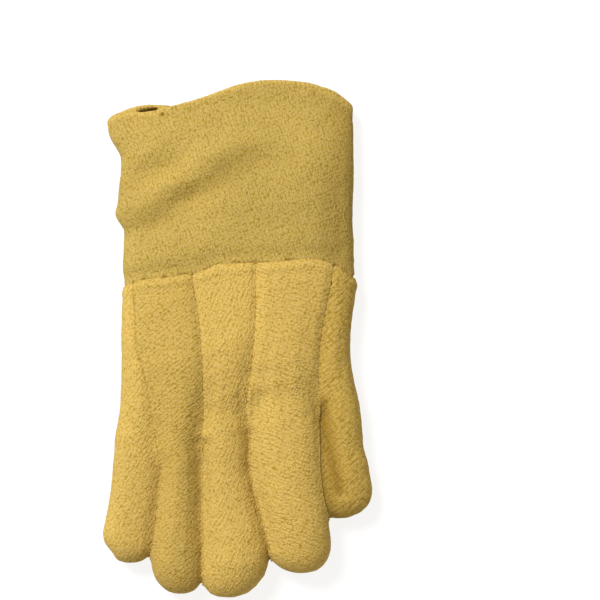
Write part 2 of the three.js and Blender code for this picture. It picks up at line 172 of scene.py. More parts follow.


# %% [markdown]
# ## The eight panels
#
# The real glove is sewn from eight cuts of cloth. One mesh would be simpler, but then a
# panel could not have its own loops and tint. The short table gives each panel its name,
# the size of its quads, the place of its finish, and the direction of its loops, as an angle
# from across the glove. Small quads cost time and memory, so the wide cuff and palm have
# larger ones than the fingers.

# %% Table of panels
PANELS = {
    # node: (piece, voxel mm, slot, loop direction in degrees)
    "cuff_hem": ("hem", 1.0, "hem", 100),
    "cuff": ("cuff_cloth", 1.53, "cuff_terry", 112),
    "palm": ("palm_cloth", 1.5, "palm_terry", 20),
    "back_little": ("little_strip", 1.0, "back_terry", 58),
    "back_ring": ("ring_strip", 1.05, "back_terry", 38),
    "back_middle": ("middle_strip", 1.05, "back_terry", 64),
    "back_index": ("index_strip", 1.05, "back_terry", 160),
    "thumb": ("thumb_cloth", 1.05, "thumb_terry", 42),
}
print("panels to make:", [row[0] for row in PANELS.values()])

# %% [markdown]
# ## A soft copy of a panel
#
# A panel starts as a copy of its solid. Its loose triangles are merged, and a voxel remesh
# turns them into small even quads, which can be smoothed and raised like clay. The quads are
# 1 to 2 mm, so the 4 mm cloth keeps both its faces.

# %% Copy and remesh
MERGE_MM = 0.01


def soft_copy(node_name, piece_name, voxel_mm):
    """A remeshed copy of a panel's solid, as an object of its own."""
    bpy.ops.object.select_all(action="DESELECT")
    piece = bpy.data.objects.new(piece_name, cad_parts[node_name].data.copy())
    bpy.context.scene.collection.objects.link(piece)
    piece.data.name = piece_name
    piece.data.materials.clear()
    piece.select_set(True)
    bpy.context.view_layer.objects.active = piece
    bpy.ops.object.mode_set(mode="EDIT")
    bpy.ops.mesh.select_all(action="SELECT")
    bpy.ops.mesh.remove_doubles(threshold=MERGE_MM * MM)
    bpy.ops.object.mode_set(mode="OBJECT")
    remesh = piece.modifiers.new("remesh", "REMESH")
    remesh.mode = "VOXEL"
    remesh.voxel_size = voxel_mm * MM
    bpy.ops.object.modifier_apply(modifier=remesh.name)
    return piece


def read_points(piece):
    points = np.empty(len(piece.data.vertices) * 3)
    piece.data.vertices.foreach_get("co", points)
    return points.reshape(-1, 3) / MM


def read_normals(piece):
    normals = np.empty(len(piece.data.vertices) * 3)
    piece.data.vertex_normals.foreach_get("vector", normals)
    return normals.reshape(-1, 3)


def write_points(piece, points):
    piece.data.vertices.foreach_set("co", (points * MM).ravel())
    piece.data.update()


# %% [markdown]
# ## What lies near a panel
#
# Two questions are asked of every point. How far is the next panel? A seam's crease and the
# welt beside it are shaped by that distance. And does the point see out of the glove, up or
# down? Only the outer face does, so it gets finer quads and the pile, and the inner face
# stays coarse.


# %% Search trees of the solids
def search_tree(node_names):
    """One search tree over the solids with these names, in millimetres."""
    points, faces = [], []
    for name in node_names:
        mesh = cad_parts[name].data
        first = len(points)
        points += [vertex.co / MM for vertex in mesh.vertices]
        faces += [[first + index for index in face.vertices] for face in mesh.polygons]
    return BVHTree.FromPolygons(points, faces)


everything = search_tree(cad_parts)
others = {
    name: search_tree([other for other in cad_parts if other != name])
    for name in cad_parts
}
print("search trees", len(others))


def ways_to(tree, points, limit_mm):
    """The distance from each point to a tree's faces, up to a limit, and the way there."""
    found = np.full(len(points), float(limit_mm))
    way = np.zeros((len(points), 3))
    for index, point in enumerate(points):
        near = tree.find_nearest(Vector(point), limit_mm)
        if near[3] is not None:
            found[index] = near[3]
            way[index] = near[0]
            way[index] -= point
    return found, way


# %% Rays that look out of the glove
SKY_RINGS = ((0, 1), (35, 6), (62, 8), (84, 8))
# tilt from upright in degrees, and number of rays
ALONG_LIMIT = 0.9
# a ray nearly along the glove is left out: from the hollow it could see out of the mouth
START_MM = 0.5
FAR_MM = 400
GRAZING = -0.02

SKY = [
    Vector(
        (
            math.sin(math.radians(tilt)) * math.cos(2 * math.pi * step / count),
            math.sin(math.radians(tilt)) * math.sin(2 * math.pi * step / count),
            side * math.cos(math.radians(tilt)),
        )
    )
    for side in (1, -1)
    for tilt, count in SKY_RINGS
    for step in range(count)
]
SKY = [ray for ray in SKY if abs(ray.y) < ALONG_LIMIT]
print("rays", len(SKY))


def sees_sky(points, normals):
    """1 where a point of the cloth can see out, 0 where it faces the hollow."""
    seen = np.zeros(len(points))
    for index, (point, normal) in enumerate(zip(points, normals)):
        normal = Vector(normal)
        start = Vector(point) + normal * START_MM
        for ray in SKY:
            if ray.dot(normal) > GRAZING and everything.ray_cast(start, ray, FAR_MM)[0] is None:
                seen[index] = 1
                break
    return seen


# %% [markdown]
# ## Numbers kept on the points
#
# A number that is stored at each point stays with it through modifiers and subdivision, and
# a material can read it.


# %% Keep and read numbers
def keep_number(piece, name, values):
    """Stores one number for each point."""
    layer = piece.data.attributes.get(name) or piece.data.attributes.new(name, "FLOAT", "POINT")
    layer.data.foreach_set("value", values.astype(np.float32))


def read_number(piece, name):
    values = np.empty(len(piece.data.vertices), np.float32)
    piece.data.attributes[name].data.foreach_get("value", values)
    return values.astype(float)


def keep_vector(piece, name, values):
    """Stores three numbers for each point."""
    layer = piece.data.attributes.new(name, "FLOAT_VECTOR", "POINT")
    layer.data.foreach_set("vector", values.astype(np.float32).ravel())


# %% [markdown]
# ## Sewn edges meet, and fingers press on each other
#
# The solids keep a gap of 0.3 mm along each seam. Thread closes it, so each edge moves half
# of the way to its neighbour and a little past it. A panel of coarser quads moves further
# past, because its edge is less even. Below the crotches the fingers are loose tubes, but
# thick terry has no room to spare there: the tubes press flat on each other, and only a
# narrow crease stays between their backs. The thumb goes a little way under the index
# finger.

# %% Where the fingers part
FINGERS = ("back_little", "back_ring", "back_middle", "back_index")
HAND_PIECES = FINGERS + ("thumb", "palm")
SIDE_SEAM_MM = 11
CROTCHES = ((-85, -78), (-50.6, -70.5), (-21.3, -59), (7, -47), (53.6, -39), (77, -36))
# x and y of the four crotches, and of the hand's two sides in line with them

beside = {
    name: search_tree([FINGERS[near] for near in (i - 1, i + 1) if 0 <= near < len(FINGERS)])
    for i, name in enumerate(FINGERS)
}
print("strips:", list(beside))


def below_crotch(points):
    """How far each point lies past the line of the crotches, towards the tips."""
    line_x, line_y = zip(*CROTCHES)
    return np.interp(points[:, 0], line_x, line_y) - points[:, 1]


def after_crotch(points, from_mm, ramp_mm):
    """0 towards the cuff, and 1 from a distance past the line of the crotches."""
    return smooth_step((below_crotch(points) - from_mm) / ramp_mm)


def at_crotch(points, reach_mm):
    """True within a distance of one of the four crotches, above the side seam."""
    away = [np.hypot(points[:, 0] - x, points[:, 1] - y) for x, y in CROTCHES[1:-1]]
    return (np.min(away, axis=0) < reach_mm) & (points[:, 2] > SIDE_SEAM_MM)


# %% Close the seams
SEWN_MM = 2.4
PAST_MM = 0.3
PAST_SHARE = 0.95
# how far past, and how much more for each millimetre that the quads are over 1 mm
HEM_PAST_MM = 1.0
CROTCH_PAST_MM = 0.8
CROTCH_PAST_REACH_MM = 5.0
UNDER_MM = 1.6
UNDER_REACH_MM = 4.0
UNDER_RAMP_MM = 2
UNDER_START_MM = 6
# the thumb's way under the index finger, and where it takes hold
LEAST_WAY_MM = 0.05


def close_seams(node_name, points, gap, way):
    """The move of each point to its neighbour's edge, and the share of the way it goes."""
    share = 0.5 * smooth_step((SEWN_MM - gap) / (0.5 * SEWN_MM))
    length = np.maximum(gap, LEAST_WAY_MM)[:, None]
    past_mm = PAST_MM + PAST_SHARE * (PANELS[node_name][1] - 1)
    past_mm += HEM_PAST_MM * (node_name == "cuff_hem")
    past = past_mm * smooth_step((SEWN_MM - gap) / SEWN_MM * 2)[:, None]
    if node_name == "thumb":
        under = smooth_step((UNDER_REACH_MM - gap) / UNDER_RAMP_MM)
        under = under * smooth_step(below_crotch(points) / UNDER_START_MM)
        past += UNDER_MM * under[:, None]
    sewn_crotch = at_crotch(points, CROTCH_PAST_REACH_MM) & (gap < SEWN_MM)
    past += CROTCH_PAST_MM * sewn_crotch[:, None]
    return way * share[:, None] + way / length * past, share


# %% Press the fingers together
PRESS_FULL_MM = 3.2
PRESS_END_MM = 7.5
PRESS_FROM_MM = -3
PRESS_RAMP_MM = 7
PRESS_RISE_MM = 4
PRESSED = 0.2
LEAST_GAP_MM = 0.3
TIPS_MM = (-124, -146)
# y where the fingers begin to part again, and where they no longer press


def press_together(node_name, points, gap, way):
    """The points, moved to their neighbours' edges, and each finger's sides to the next."""
    move, share = close_seams(node_name, points, gap, way)
    if node_name in beside:
        side_gap, side_way = ways_to(beside[node_name], points, PRESS_END_MM)
        press = 0.5 * smooth_step((PRESS_END_MM - side_gap) / (PRESS_END_MM - PRESS_FULL_MM))
        press *= after_crotch(points, PRESS_FROM_MM, PRESS_RAMP_MM)
        press *= smooth_step((points[:, 2] - SIDE_SEAM_MM) / PRESS_RISE_MM)
        press *= smooth_step((points[:, 1] - TIPS_MM[1]) / (TIPS_MM[0] - TIPS_MM[1]))
        sideways = press > share
        over = at_crotch(points, 2 * CROTCH_PAST_REACH_MM) & (press > PRESSED)
        press += CROTCH_PAST_MM * over / np.maximum(side_gap, LEAST_GAP_MM)
        move[sideways] = (side_way * press[:, None])[sideways]
    return points + move


# %% [markdown]
# ## The mouth
#
# At the little-finger end of the mouth the under layer stands up a little, and its rim curls
# over, so that from above a dark slit shows between the two lips.

# %% Open the mouth
ARCH_X_MM = (-75, -66, -47, -37)
SLIT_X_MM = (-66, -62, -53, -49)
LIP_MM = (146.6, 0.27, -60)
# y of the lip, its slope, and the x where the slope begins
UNDER_TOP_MM = 12
UNDER_SOFT_MM = 3
LIFT_MM = 4.0
LIFT_FROM_MM = 122
LIFT_RAMP_MM = 24
CURL_MM = 9.5
CURL_BEFORE_MM = 4
CURL_SLIT_MM = 5.3
CURL_RAMP_MM = 1.6
PULL_MM = 0.8
PULL_FROM_MM = 136
PULL_RAMP_MM = 10


def share_along(x, stops):
    """1 in the middle of a stretch of the mouth, and 0 outside it."""
    rise_x, full_x, fall_x, end_x = stops
    rise = smooth_step((x - rise_x) / (full_x - rise_x))
    return rise * smooth_step((end_x - x) / (end_x - fall_x))


def open_mouth(points):
    """The points, with the under layer lifted and curled, and the upper lip pulled back."""
    x, y, z = points.T
    here = share_along(x, ARCH_X_MM)
    slit = share_along(x, SLIT_X_MM)
    lip_y, slope, slope_x = LIP_MM
    lip = lip_y + slope * np.maximum(x - slope_x, 0)
    under = smooth_step((UNDER_TOP_MM - z) / UNDER_SOFT_MM)
    curl_from = lip - CURL_BEFORE_MM + CURL_SLIT_MM * slit
    lift = LIFT_MM * smooth_step((y - LIFT_FROM_MM) / LIFT_RAMP_MM)
    lift += CURL_MM * smooth_step((y - curl_from) / CURL_RAMP_MM)
    pull = PULL_MM * slit * smooth_step((y - PULL_FROM_MM) / PULL_RAMP_MM) * (1 - under)
    moved = points.copy()
    moved[:, 2] += here * under * lift
    moved[:, 1] -= here * pull
    return moved


# %% Soften what is lifted
MOUTH_SMOOTH = 8
MOUTH_MARGIN_MM = 4
MOUTH_FROM_MM = 138
MOUTH_TOP_MM = 9


def soften_mouth(piece, before):
    """Smooths the part of the under layer that is lifted, where its faces are drawn out."""
    x, y, z = before.T
    near = (x > ARCH_X_MM[0] - MOUTH_MARGIN_MM) & (x < ARCH_X_MM[-1] + MOUTH_MARGIN_MM)
    near &= (y > MOUTH_FROM_MM) & (z < MOUTH_TOP_MM)
    group = piece.vertex_groups.new(name="mouth")
    group.add(np.nonzero(near)[0].tolist(), 1, "REPLACE")
    smooth = piece.modifiers.new("smooth", "SMOOTH")
    smooth.factor = 0.5
    smooth.iterations = MOUTH_SMOOTH
    smooth.vertex_group = group.name
    bpy.ops.object.modifier_apply(modifier=smooth.name)
    piece.vertex_groups.clear()


# %% [markdown]
# ## Pushes
#
# Thick cloth bulges where it is folded, so the glove's side stands out in a lobe on the cuff,
# at the corner of its mouth and a little below the seam, and the tip of the thumb is a little
# fuller. The little finger's tip is rounder on its outer side.

# %% Push the sides out
PUSHES = (
    # x, y, radius, way in x, way in y
    (-82, 131, 9, -2.4, 0),
    (-78, 77, 9, -3.2, 0),
    (-76, 30, 12, -0.8, 0),
    (-83.5, -140, 6, 1.5, 1.7),
    (84, -108, 12, 1.0, -0.8),
)
LEAN_MM = {"back_little": (-52, -74, 4, 1.1, 0), "back_ring": (-51, -74, 4, -0.7, 0)}
# the same numbers: at their crotch the little and the ring finger lean on each other
print("pushes:", len(PUSHES), "and", len(LEAN_MM), "at a crotch")


def push_out(node_name, points):
    """The points, each pushed sideways by the bulges near it."""
    moved = points.copy()
    rows = PUSHES + ((LEAN_MM[node_name],) if node_name in LEAN_MM else ())
    for x, y, radius, way_x, way_y in rows:
        near = np.exp(-(((points[:, 0] - x) ** 2 + (points[:, 1] - y) ** 2) / radius**2))
        moved[:, 0] += way_x * near
        moved[:, 1] += way_y * near
    return moved


# %% [markdown]
# ## The panels, not yet raised
#
# Now each panel is copied, asked what lies near it, sewn to its neighbours and pushed into
# shape. What it was asked is kept on its points, since the answers change once it moves.

# %% Make the panels
NEAR_MM = 7.0
CROTCH_REACH_MM = 7


def make_panel(node_name):
    """A panel with sewn edges, and on each point its gap and whether it sees out."""
    piece = soft_copy(node_name, *PANELS[node_name][:2])
    points, normals = read_points(piece), read_normals(piece)
    gap, way = ways_to(others[node_name], points, NEAR_MM)
    outside = np.maximum(sees_sky(points, normals), at_crotch(points, CROTCH_REACH_MM))
    keep_number(piece, "outside", outside)
    keep_number(piece, "gap", gap)
    sewn = press_together(node_name, points, gap, way)
    write_points(piece, push_out(node_name, open_mouth(sewn)))
    if node_name in ("cuff", "cuff_hem"):
        soften_mouth(piece, points)
    return piece


pieces = {node_name: make_panel(node_name) for node_name in PANELS}
print("quads:", {name: len(piece.data.polygons) for name, piece in pieces.items()})

# %% [markdown]
# ## One skin as a guide
#
# Sewn cloth runs smoothly over its seams, and eight separate panels can't know that. So
# copies of them are merged into one skin with small even quads, and smoothed: its facets
# melt, and the ledges at the crotches turn into soft hollows. The copies are swollen before
# they are merged and shrunk again after, which fills every cleft that is too narrow for
# thick pile. Each panel's outer face is then laid on this skin, right up to its sewn edges,
# so no black line opens between two panels. The skin is only a guide, and is removed again.

# %% The guide skin
GUIDE_MM = 1.05
GUIDE_SMOOTH = 12
CROTCH_SMOOTH = 70
FILL_MM = 1.4


def make_guide():
    """One smooth mesh over all the panels."""
    bpy.ops.object.select_all(action="DESELECT")
    for piece in pieces.values():
        copy = bpy.data.objects.new("guide", piece.data.copy())
        bpy.context.scene.collection.objects.link(copy)
        write_points(copy, read_points(copy) + FILL_MM * read_normals(copy))
        copy.select_set(True)
        bpy.context.view_layer.objects.active = copy
    bpy.ops.object.join()
    guide = bpy.context.active_object
    remesh = guide.modifiers.new("remesh", "REMESH")
    remesh.mode = "VOXEL"
    remesh.voxel_size = GUIDE_MM * MM
    bpy.ops.object.modifier_apply(modifier=remesh.name)
    points = read_points(guide) - FILL_MM * read_normals(guide)
    write_points(guide, points)
    near = (np.abs(below_crotch(points)) < CROTCH_REACH_MM) & (points[:, 2] > SIDE_SEAM_MM)
    near |= at_crotch(points, 2 * CROTCH_REACH_MM)
    group = guide.vertex_groups.new(name="crotches")
    group.add(np.nonzero(near)[0].tolist(), 1, "REPLACE")
    for repeats, group_name in ((GUIDE_SMOOTH, ""), (CROTCH_SMOOTH, group.name)):
        smooth = guide.modifiers.new("smooth", "SMOOTH")
        smooth.factor = 0.5
        smooth.iterations = repeats
        smooth.vertex_group = group_name
        bpy.ops.object.modifier_apply(modifier=smooth.name)
    return guide


guide = make_guide()
guide_normals = read_normals(guide)
guide_tree = BVHTree.FromPolygons(
    [vertex.co / MM for vertex in guide.data.vertices],
    [face.vertices[:] for face in guide.data.polygons],
)
guide_corners = [face.vertices[:] for face in guide.data.polygons]
guide_points = read_points(guide)
print("guide quads", len(guide.data.polygons))
bpy.data.objects.remove(guide)

# %% [markdown]
# ## Laying a panel on the skin
#
# Each outer point goes to the nearest place on the skin, if that is near, and takes the
# skin's direction there, blended from the corners of the quad it lands on. Points of the
# mouth's lifted part stay where they are. The outer faces are subdivided once before that,
# which gives the relief enough points.

# %% Lay a panel on the guide
LAY_FULL_MM = 3.5
LAY_END_MM = 6.0
MOUTH_LAY_MM = (141, 4)
# y where the mouth's stretch begins to keep its own shape, and how soon it does in full
LEAST_SHARE = 0.01
CORNER_MM = 0.05
WRONG_WAY = -0.2


def lay_on_guide(points, normals, outside):
    """The points laid on the guide skin, and the skin's normals there."""
    laid, skin_normals = points.copy(), normals.copy()
    from_y, ramp = MOUTH_LAY_MM
    mouth = share_along(points[:, 0], ARCH_X_MM) * smooth_step((points[:, 1] - from_y) / ramp)
    outside = outside * (1 - mouth)
    for index in np.nonzero(outside > LEAST_SHARE)[0]:
        place, _, face, distance = guide_tree.find_nearest(Vector(points[index]), LAY_END_MM)
        if face is None:
            continue
        corners = list(guide_corners[face])
        away = np.linalg.norm(guide_points[corners] - np.array(place), axis=1) + CORNER_MM
        normal = (guide_normals[corners] / away[:, None]).sum(axis=0)
        normal /= np.linalg.norm(normal)
        if normal @ normals[index] < WRONG_WAY:
            continue
        share = outside[index] * min(1, (LAY_END_MM - distance) / (LAY_END_MM - LAY_FULL_MM))
        laid[index] += share * (np.array(place) - points[index])
        skin_normals[index] = share * normal + (1 - share) * normals[index]
    return laid, skin_normals


# %% Finer quads outside
REFINE_FROM_MM = 4


def refine_outside(piece, outside):
    """Subdivides the faces that see out, but not those that lie on the floor."""
    fine = outside * (read_points(piece)[:, 2] > REFINE_FROM_MM)
    bpy.ops.object.select_all(action="DESELECT")
    piece.select_set(True)
    bpy.context.view_layer.objects.active = piece
    bpy.ops.object.mode_set(mode="EDIT")
    bpy.ops.mesh.select_mode(type="FACE")
    bpy.ops.mesh.select_all(action="DESELECT")
    bpy.ops.object.mode_set(mode="OBJECT")
    corners = np.empty(len(piece.data.loops), np.int64)
    piece.data.loops.foreach_get("vertex_index", corners)
    chosen = fine[corners.reshape(-1, 4)].min(axis=1) > 0.5
    piece.data.polygons.foreach_set("select", chosen)
    bpy.ops.object.mode_set(mode="EDIT")
    bpy.ops.mesh.subdivide(number_cuts=1)
    bpy.ops.object.mode_set(mode="OBJECT")


# %% [markdown]
# ## Seams, lumps and clumps
#
# A seam is a soft crease about 3 mm wide. The thread dips into the pile every few
# millimetres, which leaves short dashes along it, sunk here and painted dark further down
# as painted shade. On the back of the hand the seam allowances are pressed towards the
# thumb, so each strip has a low welt along its little-finger side. Below the crotches that
# side of each finger rolls over the next finger's thumb side, which ducks under it. The
# cloth between is softly uneven, its loops stand in clumps, and all of it stands proud of
# the knitted ground by most of a millimetre.

# %% Stitches and the small hole
DASH_MM = 4.2
DASH_LEAN = 0.6
DASH_WANDER_MM = (3.0, 7.0)
# how far the dashes wander, and over which length
DASH_CHANGE_MM = 9.0
DASH_DEEP = (0.6, 0.9)
# how deep the dashes are on average, and how much that changes
DASH_SOFT = 0.1
WANDER_SALT, CHANGE_SALT = 11, 12
HOLE_MM = (-48.1, 145.6, 1.3)
# x, y and radius
FINGER_SEAM_LESS = 0.55
HEM_SEAM_LESS = 0.85
HEM_FROM_MM = 118
SEAM_RAMP_MM = 10


def dashes(points):
    """1 where the thread dips in, 0 between, along a seam in any direction."""
    far, size = DASH_WANDER_MM
    along = points[:, 1] + DASH_LEAN * points[:, 0] + far * noise(points, size, WANDER_SALT)
    middle, change = DASH_DEEP
    deep = smooth_step(middle + change * noise(points, DASH_CHANGE_MM, CHANGE_SALT))
    wave = np.cos(2 * math.pi * along / DASH_MM)
    return deep * smooth_step((wave + DASH_SOFT) / (1 - DASH_SOFT))


def hole(points):
    """1 in the small hole beside the slit of the mouth."""
    x, y, radius = HOLE_MM
    return np.exp(-((np.hypot(points[:, 0] - x, points[:, 1] - y) / radius) ** 4))


def seam_strength(node_name, points):
    """How deep a seam sinks and how dark its painted shade is: the hem's and the fingers' are
    faint.
    """
    strength = np.ones(len(points))
    if node_name in FINGERS:
        strength = 1 - FINGER_SEAM_LESS * smooth_step(below_crotch(points) / SEAM_RAMP_MM)
    hem_way = smooth_step((points[:, 1] - HEM_FROM_MM) / SEAM_RAMP_MM)
    return strength * (1 - HEM_SEAM_LESS * hem_way)


# %% Wrinkles
WRINKLES = (
    # x0, y0, x1, y1, width, depth: short valleys on the upper side
    (57, -50, 69, -100, 3.6, 1.8),
    (62, 28, 57, -14, 3.5, 0.7),
    (-80, 60, -66, 70, 4.0, 1.0),
    (70, 60, 66, 96, 4.0, 0.8),
    (-40, 84, -6, 103, 7.0, 0.2),
    (-66, 105, -40, 117, 7.0, 0.4),
)
FILLS = (
    # x0, y0, x1, y1, width, height: where the cloth bridges the deep end of a crotch
    (8, -32, 7.5, -54, 6.5, 2.5),
    (8, -63, 9, -92, 5.5, 1.4),
    (-23, -65, -22, -75, 4.0, 1.2),
)
print("wrinkles", len(WRINKLES), "fills", len(FILLS))


def near_runs(points, rows):
    """The sum over the rows of a soft run from x0, y0 to x1, y1, on the upper side."""
    total = np.zeros(len(points))
    for x0, y0, x1, y1, width, amount in rows:
        run = np.array([x1 - x0, y1 - y0])
        start = points[:, :2] - (x0, y0)
        along = np.clip(start @ run / (run @ run), 0, 1)
        off = np.linalg.norm(start - along[:, None] * run, axis=1)
        total += amount * np.exp(-((off / width) ** 2)) * (points[:, 2] > SIDE_SEAM_MM)
    return total


# %% Welts, rolls and valleys beside the seams
WELT_MM = 0.4
WELT_WIDTH_MM = 9.0
WELT_NEAR = 1.6
WELT_SKEW = 0.7
WELT_SIDE = {"back_ring": "back_little", "back_middle": "back_ring", "back_index": "back_middle"}
ROLL_MM = {"back_ring": 0.4, "back_middle": 1.7, "back_index": 1.6}
ROLL_REACH_MM = 6.0
DUCK_MM = {"back_little": 0.6, "back_ring": 0.5, "back_middle": 1.4}
DUCK_REACH_MM = 4.5
VALLEY_MM = 1.6
VALLEY_FROM_MM = 5
VALLEY_WIDTH_MM = 4
VALLEY_RAMP_MM = 10
VALLEY_END_MM = 20
CUFF_SIDE = (-0.7, 4.5, 4.5)
HAND_SIDE = (0.55, 4.5, 2.5)
# height, distance from the cuff seam, and width of the soft valley and the roll beside it
SIDE_END_MM = 14
LOOSE_MM = (-8, 16)
# where the fingers come loose, past the line of the crotches, and over which length


def right_side(node_name):
    """The search tree of the next strip towards the thumb."""
    return search_tree([FINGERS[FINGERS.index(node_name) + 1]])


def finger_relief(node_name, points):
    """The welt or roll on a strip's little-finger side, and the duck on its thumb side."""
    height = np.zeros(len(points))
    loose = after_crotch(points, *LOOSE_MM)
    if node_name in WELT_SIDE:
        left_gap = ways_to(search_tree([WELT_SIDE[node_name]]), points, WELT_WIDTH_MM)[0]
        near = np.minimum(WELT_NEAR * left_gap / WELT_WIDTH_MM, 1)
        height += WELT_MM * np.sin(math.pi * near**WELT_SKEW) ** 2 * (1 - loose)
        height += ROLL_MM[node_name] * loose * np.exp(-((left_gap / ROLL_REACH_MM) ** 2))
    if node_name in DUCK_MM:
        right_gap = ways_to(right_side(node_name), points, 2 * DUCK_REACH_MM)[0]
        duck = np.exp(-((right_gap / DUCK_REACH_MM) ** 2)) * (right_gap < 2 * DUCK_REACH_MM)
        height -= DUCK_MM[node_name] * loose * duck
    return height


def thumb_valley(points):
    """The soft valley on the thumb, along the index finger."""
    index_gap = ways_to(search_tree(["back_index"]), points, VALLEY_END_MM)[0]
    valley = np.exp(-(((index_gap - VALLEY_FROM_MM) / VALLEY_WIDTH_MM) ** 2))
    return VALLEY_MM * valley * smooth_step(below_crotch(points) / VALLEY_RAMP_MM)


def cuff_seam_side(node_name, points):
    """The valley on the cuff's side of its seam to the hand, and the roll on the other."""
    far_side = HAND_PIECES if node_name == "cuff" else ("cuff",)
    seam_gap = ways_to(search_tree(far_side), points, SIDE_END_MM)[0]
    rise, middle, width = CUFF_SIDE if node_name == "cuff" else HAND_SIDE
    return rise * np.exp(-(((seam_gap - middle) / width) ** 2)) * (seam_gap < SIDE_END_MM)


# %% All the relief together
PROUD_MM = 0.8
CREASE_MM = 0.5
CREASE_REACH_MM = 1.7
DASH_DEPTH_MM = 0.45
LUMPS = ((26.0, 0.5), (9.0, 0.25), (3.4, 0.12), (1.9, 0.1))
# size and height of the lumps, in mm
LUMP_SALT = 40


def relief(node_name, points, gap):
    """The height of the pile over the guide skin."""
    strength = seam_strength(node_name, points)
    close = np.exp(-((gap / CREASE_REACH_MM) ** 2))
    height = PROUD_MM - close * strength * (CREASE_MM + DASH_DEPTH_MM * dashes(points))
    height += finger_relief(node_name, points)
    if node_name == "thumb":
        height -= thumb_valley(points)
    if node_name != "cuff_hem":
        height += cuff_seam_side(node_name, points)
    height -= near_runs(points, WRINKLES) + hole(points)
    for number, (size, lump) in enumerate(LUMPS):
        height += lump * noise(points, size, LUMP_SALT + number)
    return height


# %% [markdown]
# ## Painted shade: how dark each place is
#
# Light hardly reaches the bottom of a crease or of a fold, and the thumb beside the index
# finger, a finger where it ducks under the next and the edges away from the lamp lie in
# shade. Geometry alone shows too little of that, because its loops are only in the
# material. So that shade is painted: a number from 0 to 1 is kept on each point, and the
# material mixes in a deep brown by it.

# %% Painted shade in seams and folds
# painted shade along each seam: how far it reaches, and how dark between the dashes and in them
DARK_REACH_MM = 1.15
DARK_BETWEEN = 0.25
DARK_DASH = 0.75
# painted shadow of the index finger on the thumb: how dark, and how far it reaches in mm
THUMB_SHADE = 0.42
THUMB_SHADE_MM = 11
THUMB_SHADES = (
    # x0, y0, x1, y1, width, amount of painted shade: in the valley by the index finger, and along
    # the outer edge
    (55, -42, 65, -97, 5.5, 0.62),
    (75, 20, 80, -30, 3.5, 0.3),
)
CUFF_SHADES = (
    # the same, of painted shade: in two folds, and along the cuff's right edge
    (-58, 77, 12, 119, 10, 0.17),
    (-74, 100, -38, 114, 6, 0.15),
    (74, 62, 74, 150, 19, 0.27),
)
FAR_SIDE_SHADE = {"back_little": (0.12, 4), "back_middle": (0.5, 3.5)}
# amount and width in mm of the painted shade where a finger ducks under the next one
THUMB_RAMP_MM = (-4, 12)
FAR_SIDE_RAMP_MM = (-2, 14)
# where these painted shades begin, past the line of the crotches, and over which length


def painted_shade_amount(node_name, points, gap):
    """Painted shade: 0 on open cloth, up to 1 in the dashes of a seam."""
    dark = np.exp(-((gap / DARK_REACH_MM) ** 2)) * seam_strength(node_name, points)
    dark *= DARK_BETWEEN + DARK_DASH * dashes(points)
    # painted shade: the small hole is painted as dark as the darkest dash
    dark = np.maximum(dark, hole(points))
    if node_name == "thumb":
        index_gap = ways_to(search_tree(["back_index"]), points, 3 * THUMB_SHADE_MM)[0]
        shade = THUMB_SHADE * np.exp(-((index_gap / THUMB_SHADE_MM) ** 2))
        dark = np.maximum(dark, shade * after_crotch(points, *THUMB_RAMP_MM))
        dark = np.maximum(dark, near_runs(points, THUMB_SHADES))
    if node_name == "cuff":
        dark = np.maximum(dark, near_runs(points, CUFF_SHADES))
    if node_name in FAR_SIDE_SHADE:
        most, width = FAR_SIDE_SHADE[node_name]
        right_gap = ways_to(right_side(node_name), points, 3 * width)[0]
        shade = most * np.exp(-((right_gap / width) ** 2))
        dark = np.maximum(dark, shade * after_crotch(points, *FAR_SIDE_RAMP_MM))
    return dark


# %% [markdown]
# ## Raising the pile
#
# Now each outer face is subdivided, laid on the skin, and raised by its relief. Neighbours
# overlap at the seams, and two faces in one plane would show as black specks. So each panel
# lies a hair above the one before it in the table. No point goes below the floor.

# %% Raise the outer faces
FLOOR_MM = 0.05
LAYER_MM = 0.04
FACING_POWER = 6


def raise_panel(node_name):
    """Gives a panel its outer shape, and the numbers that its material reads."""
    piece = pieces[node_name]
    refine_outside(piece, read_number(piece, "outside"))
    outside, gap = read_number(piece, "outside"), read_number(piece, "gap")
    points, skin_normals = lay_on_guide(read_points(piece), read_normals(piece), outside)
    layer = LAYER_MM * list(PANELS).index(node_name)
    points += skin_normals * ((relief(node_name, points, gap) + layer) * outside)[:, None]
    points[:, 2] += near_runs(points, FILLS) * outside
    points[:, 2] = np.maximum(points[:, 2], FLOOR_MM + layer)
    write_points(piece, points)
    facing = np.abs(skin_normals) ** FACING_POWER
    keep_vector(piece, "facing", facing / facing.sum(axis=1, keepdims=True))
    # the painted shade, kept on each point for the material
    keep_number(piece, "painted_shade", painted_shade_amount(node_name, points, gap))
    piece.data.attributes.remove(piece.data.attributes["outside"])
    piece.data.attributes.remove(piece.data.attributes["gap"])
    bpy.ops.object.shade_smooth()
    print(piece.name, "triangles", sum(len(face.vertices) - 2 for face in piece.data.polygons))


for node_name in PANELS:
    raise_panel(node_name)

# %% [markdown]
# ## Terry material
#
# Terry cloth is covered in small cotton loops. From above each one is a short fat stroke
# about 2 mm long and 1 mm wide, and between them the cloth shows as small dark pits. A
# Voronoi pattern with stretched cells has this look: each cell is one loop. The knit behind
# the loops draws them together in fine ribs, which a wave texture gives.
#
# Tens of thousands of modelled loops would look much the same from here and make the file
# far too heavy, so they are colour and bump in the material. First come a few small
# helpers, which keep the node code short.


# %% Helpers for nodes
def add_node(tree, kind, place, **values):
    """A new node, with inputs or settings given by name."""
    node = tree.nodes.new(kind)
    node.location = place
    for name, value in values.items():
        if name in node.inputs:
            node.inputs[name].default_value = value
        else:
            setattr(node, name, value)
    return node


